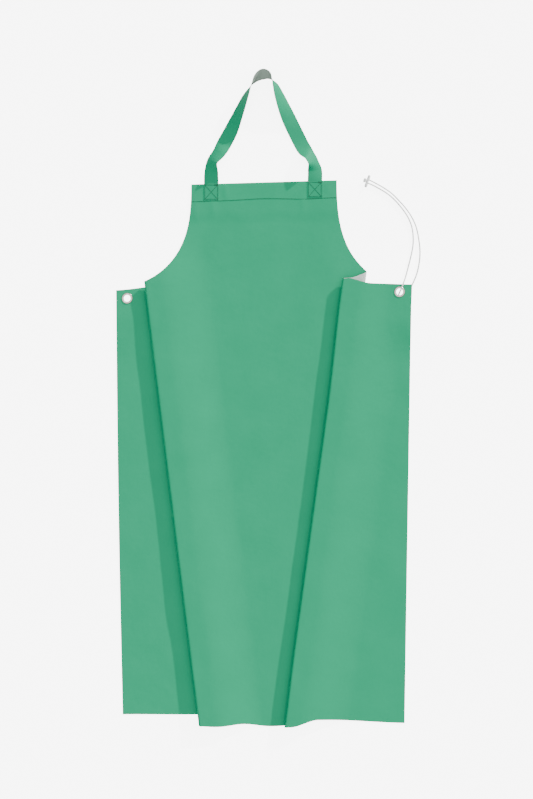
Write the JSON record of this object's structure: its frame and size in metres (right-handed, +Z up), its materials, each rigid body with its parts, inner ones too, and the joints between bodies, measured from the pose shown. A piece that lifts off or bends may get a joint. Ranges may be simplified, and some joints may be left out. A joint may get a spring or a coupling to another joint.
{
  "type": "butcher apron",
  "caption": "Coated-cloth bib apron lying flat with a pleat down each side, a sewn neck strap, side eyelets and a cord loop with a bar toggle.",
  "frame": {"origin": "on the table under the middle of the apron's bounding box, cord left out", "axes": "+Z up from the table, +Y from the hem to the neck strap, +X to the side with the cord"},
  "size_m": [0.6685, 1.4444, 0.0328],
  "materials": {
    "coated_cloth": "woven cloth with a smooth satin green coating on the front and a white knitted back",
    "strap_cloth": "strip of the same coated cloth, satin green on the front and white on the back",
    "green_thread": "twisted polyester sewing thread, green",
    "nickel": "pressed brass, nickel plated and bright",
    "white_cord": "fine braided white cord",
    "white_plastic": "moulded white plastic"
  },
  "bodies": {
    "root": {"front_panel": "coated_cloth", "top_hem": "coated_cloth", "hem_stitching": "green_thread", "strap_end_left": "strap_cloth", "strap_end_right": "strap_cloth", "strap_stitching_left": "green_thread", "strap_stitching_right": "green_thread"},
    "left_gusset": {"left_gusset": "coated_cloth", "left_front_fold": "coated_cloth", "left_rear_fold": "coated_cloth"},
    "left_panel": {"left_side_panel": "coated_cloth", "eyelet_left": "nickel", "eyelet_washer_left": "nickel"},
    "right_gusset": {"right_gusset": "coated_cloth", "right_rear_fold": "coated_cloth", "right_front_fold": "coated_cloth"},
    "right_panel": {"right_side_panel": "coated_cloth", "eyelet_right": "nickel", "eyelet_washer_right": "nickel", "tie_cord": "white_cord"},
    "neck_strap": {"neck_strap": "strap_cloth"},
    "toggle": {"toggle": "white_plastic", "cord_knot": "white_cord"}
  },
  "joints": [
    {"name": "left_pleat", "type": "hinge", "parent": "root", "child": "left_gusset", "pos_m": [-0.19829, -0.23223, 0.0124], "axis": [-0.1218, 0.9926, 0], "range_deg": [0, 159], "deforming": ["left_front_fold"]},
    {"name": "left_pleat_rear", "type": "hinge", "parent": "left_gusset", "child": "left_panel", "pos_m": [-0.16091, -0.23223, 0.0044], "axis": [0.1296, -0.9916, 0], "range_deg": [0, 159], "deforming": ["left_rear_fold"]},
    {"name": "right_pleat", "type": "hinge", "parent": "root", "child": "right_gusset", "pos_m": [0.15266, -0.23223, 0.0044], "axis": [0.127, 0.9919, 0], "range_deg": [0, 155], "deforming": ["right_rear_fold"]},
    {"name": "right_pleat_front", "type": "hinge", "parent": "right_gusset", "child": "right_panel", "pos_m": [0.11468, -0.23223, 0.0124], "axis": [-0.1348, -0.9909, 0], "range_deg": [0, 155], "deforming": ["right_front_fold"]},
    {"name": "strap_fold", "type": "hinge", "parent": "root", "child": "neck_strap", "pos_m": [-0.00146, 0.47377, 0.0036], "axis": [0.9997, 0.0263, 0], "range_deg": [0, 140]},
    {"name": "toggle_turn", "type": "hinge", "parent": "right_panel", "child": "toggle", "pos_m": [0.22804, 0.47717, 0.00275], "axis": [0, 0, 1], "range_deg": [0, 75], "deforming": ["tie_cord"]}
  ],
  "couplings": [
    {"joint": "left_pleat_rear", "follows": "left_pleat", "ratio": 1},
    {"joint": "right_pleat_front", "follows": "right_pleat", "ratio": 1}
  ]
}
